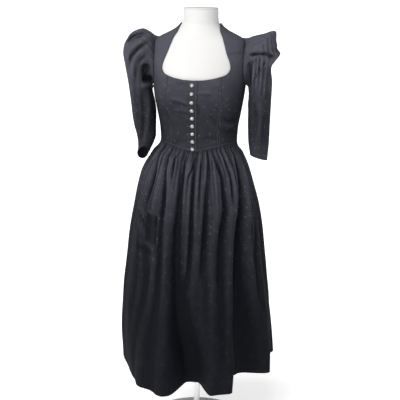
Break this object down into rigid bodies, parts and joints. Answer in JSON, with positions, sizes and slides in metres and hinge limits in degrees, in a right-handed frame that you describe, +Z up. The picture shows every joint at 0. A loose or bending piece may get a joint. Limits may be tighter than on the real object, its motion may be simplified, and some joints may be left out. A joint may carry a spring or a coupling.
{
  "type": "dirndl dress on a limbless dress form with a round base",
  "caption": "Dark long dirndl with a deep round neckline, buttoned bodice, puffed three-quarter sleeves and a gathered skirt, on a limbless dress form with a round base.",
  "frame": {"origin": "centre of the flat underside of the dress form's round base", "axes": "+Z up along the form's pole, the wearer's front towards -Y, the wearer's left towards +X"},
  "size_m": [0.5522, 0.6244, 1.5018],
  "materials": {
    "cotton": "matt printed cotton",
    "form_white": "smooth white jersey cover",
    "pewter": "satin pewter",
    "steel": "brushed",
    "base_paint": "satin paint"
  },
  "bodies": {
    "root": {"bodice_front_right": "cotton", "bodice_front_left": "cotton", "bodice_side_front_right": "cotton", "bodice_side_front_left": "cotton", "bodice_side_back_right": "cotton", "bodice_side_back_left": "cotton", "bodice_back": "cotton", "sleeve_right": "cotton", "sleeve_left": "cotton", "skirt_front": "cotton", "skirt_back": "cotton", "button_1": "pewter", "button_2": "pewter", "button_3": "pewter", "button_4": "pewter", "button_5": "pewter", "button_6": "pewter", "button_7": "pewter", "button_8": "pewter", "button_9": "pewter", "form_torso": "form_white", "form_neck_cap": "form_white", "form_pole": "steel", "form_base": "base_paint"}
  },
  "joints": []
}
